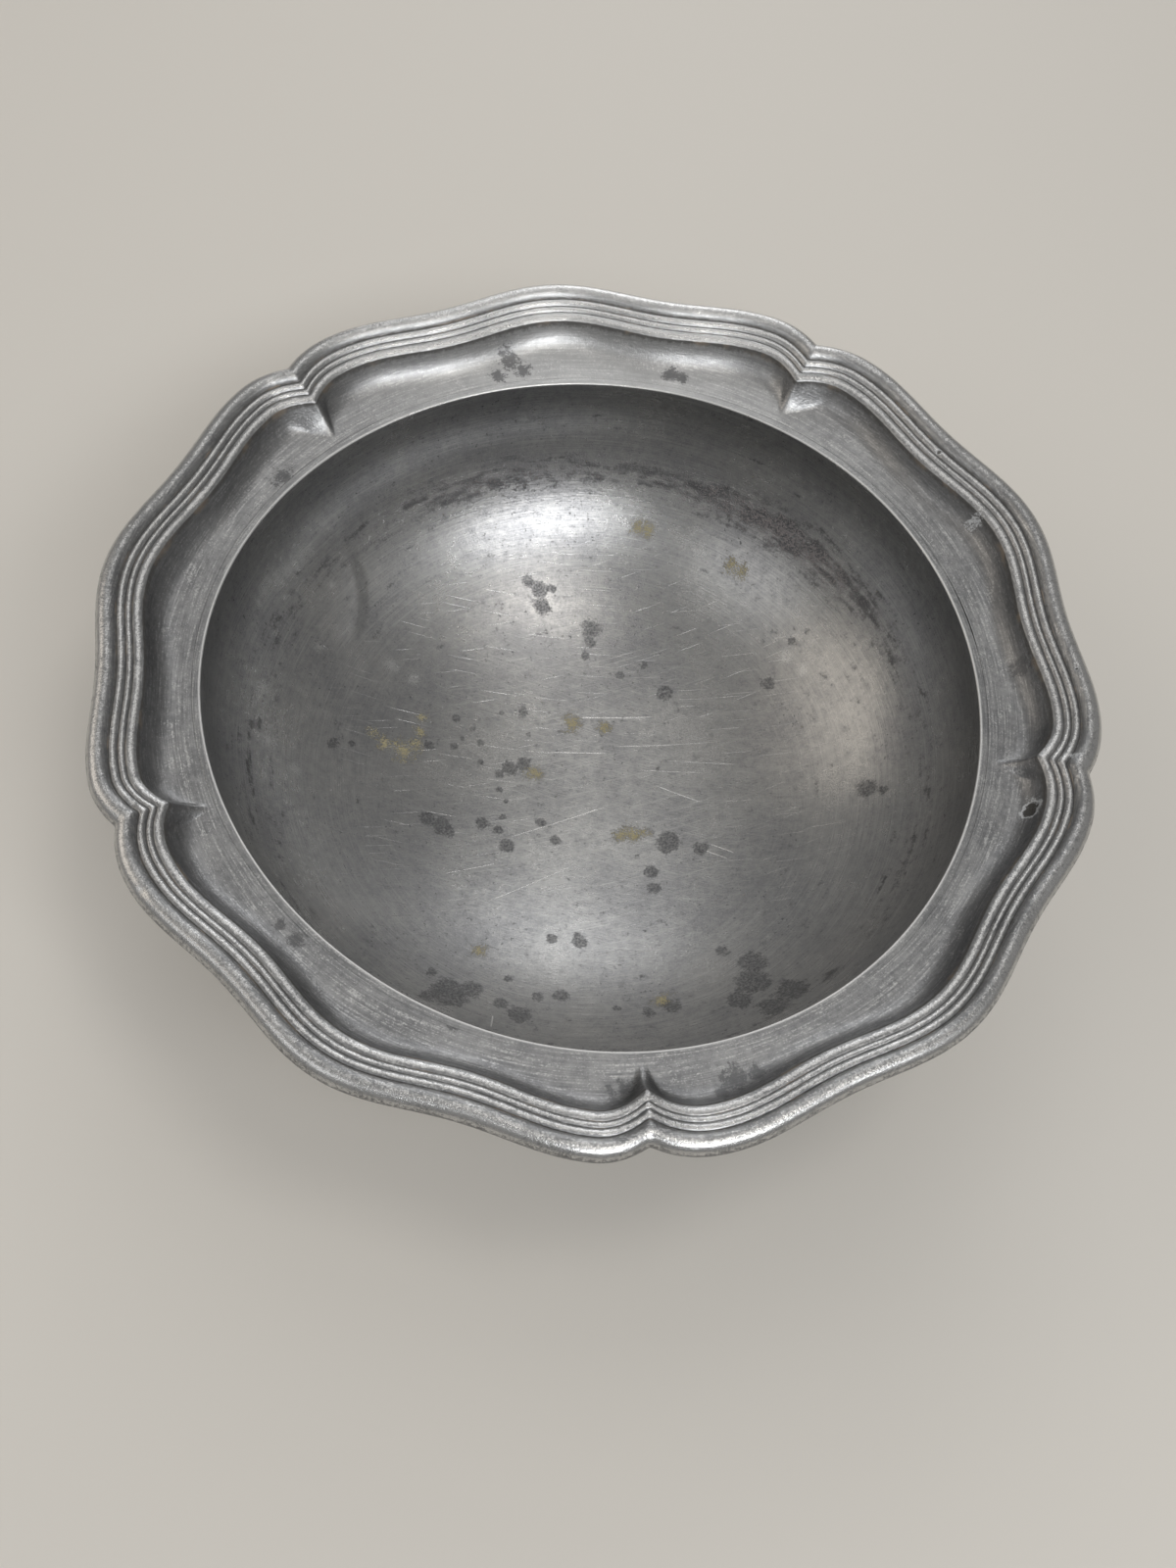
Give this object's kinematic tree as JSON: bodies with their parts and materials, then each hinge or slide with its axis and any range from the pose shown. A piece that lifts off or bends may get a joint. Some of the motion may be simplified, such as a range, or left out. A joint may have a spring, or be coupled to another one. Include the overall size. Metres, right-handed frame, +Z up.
{
  "type": "compote dish",
  "caption": "Pewter compote: a deep round bowl with a wide lobed, reeded border soldered round its lip, on a low flared foot. Holds fruit or sweets on a table.",
  "frame": {"origin": "on the turning axis, at the level of the foot's flat resting ring", "axes": "+Z up along the turning axis; a notch of the border faces -Y, and the middle of a lobe faces +Y"},
  "size_m": [0.2464, 0.2496, 0.0917],
  "materials": {
    "bowl_pewter": "satin",
    "rim_pewter": "satin",
    "foot_pewter": "satin",
    "solder": "satin"
  },
  "bodies": {
    "root": {"bowl": "bowl_pewter", "rim": "rim_pewter", "rim_solder": "solder", "foot": "foot_pewter", "foot_solder": "solder"}
  },
  "joints": []
}
